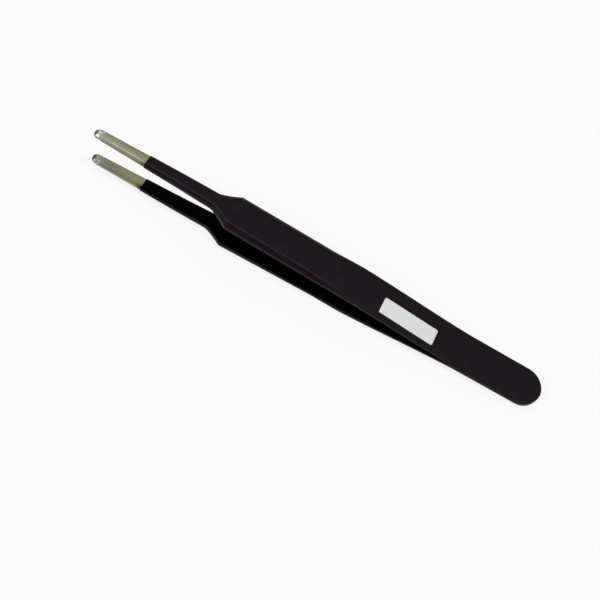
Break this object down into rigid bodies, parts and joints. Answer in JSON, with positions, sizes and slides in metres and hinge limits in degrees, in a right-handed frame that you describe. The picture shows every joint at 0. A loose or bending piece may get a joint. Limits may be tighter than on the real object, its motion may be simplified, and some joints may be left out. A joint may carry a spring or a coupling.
{
  "type": "anti-static tweezers",
  "caption": "Straight coated tweezers with spring arms welded at the butt, bevelled handles, narrow necks and blunt flat bare steel tips.",
  "frame": {"origin": "centre of the bounding box's bottom face, on the surface that the tweezers lie on", "axes": "tips towards -X, butt towards +X, width along Y, opening direction +Z; the straight outer face of the lower handle lies flat on the surface"},
  "size_m": [0.1202, 0.0096, 0.0125],
  "materials": {
    "bare_steel": "ground stainless steel with fine lengthwise grain and a faint warm heat tint",
    "black_coat": "thin satin black dissipative coat with a soft sheen on its edges",
    "weld_metal": "re-solidified steel of the spot welds"
  },
  "bodies": {
    "heel": {"upper_heel": "bare_steel", "lower_heel": "bare_steel", "heel_coating": "black_coat", "weld_nugget_rear": "weld_metal", "weld_nugget_middle": "weld_metal", "weld_nugget_front": "weld_metal"},
    "upper_arm": {"upper_arm": "bare_steel", "upper_arm_coating": "black_coat"},
    "lower_arm": {"lower_arm": "bare_steel", "lower_arm_coating": "black_coat"}
  },
  "joints": [
    {"name": "upper_flex", "type": "hinge", "parent": "heel", "child": "upper_arm", "pos_m": [0.03806, 0, 0.00237], "axis": [0, -1, 0], "range_deg": [0, 2.72], "stiffness_Nm_per_rad": 1.4},
    {"name": "lower_flex", "type": "hinge", "parent": "heel", "child": "lower_arm", "pos_m": [0.03806, 0, 0.00224], "axis": [0, 1, 0], "range_deg": [0, 2.72], "stiffness_Nm_per_rad": 1.4}
  ],
  "couplings": [
    {"joint": "lower_flex", "follows": "upper_flex", "ratio": 1}
  ]
}
